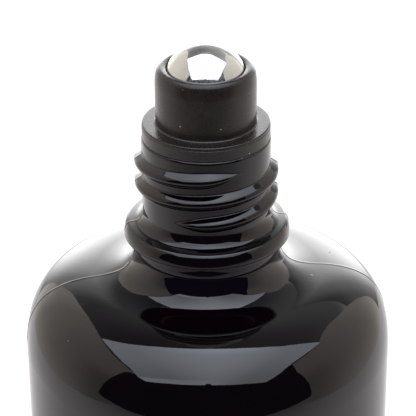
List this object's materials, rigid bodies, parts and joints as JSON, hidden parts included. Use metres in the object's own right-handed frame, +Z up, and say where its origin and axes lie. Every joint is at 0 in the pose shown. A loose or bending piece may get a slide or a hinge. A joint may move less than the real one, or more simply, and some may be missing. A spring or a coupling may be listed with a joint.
{
  "type": "roll on bottle",
  "caption": "Dark violet glass bottle with an 18 mm screw neck and a push-in black roller fitment that holds a polished steel ball.",
  "frame": {"origin": "centre of the base on the bottle's axis, in the plane that the bottle stands on", "axes": "+Z up the bottle's axis to the ball; -Y is the side that the picture shows, +X is its right"},
  "size_m": [0.0471, 0.047, 0.1241],
  "materials": {
    "violet_glass": "gloss",
    "black_plastic": "satin",
    "natural_plastic": "satin",
    "polished_steel": "polished"
  },
  "bodies": {
    "glass": {"bottle": "violet_glass"},
    "fitment": {"roller_housing": "black_plastic", "ball_seat": "natural_plastic"},
    "ball": {"roller_ball": "polished_steel"}
  },
  "joints": [
    {"name": "fitment_pull", "type": "slide", "parent": "glass", "child": "fitment", "axis": [0, 0, 1], "range_m": [0, 0.012]},
    {"name": "ball_roll", "type": "hinge", "parent": "fitment", "child": "ball", "pos_m": [0, 0, 0.11887], "axis": [1, 0, 0], "continuous": true}
  ]
}
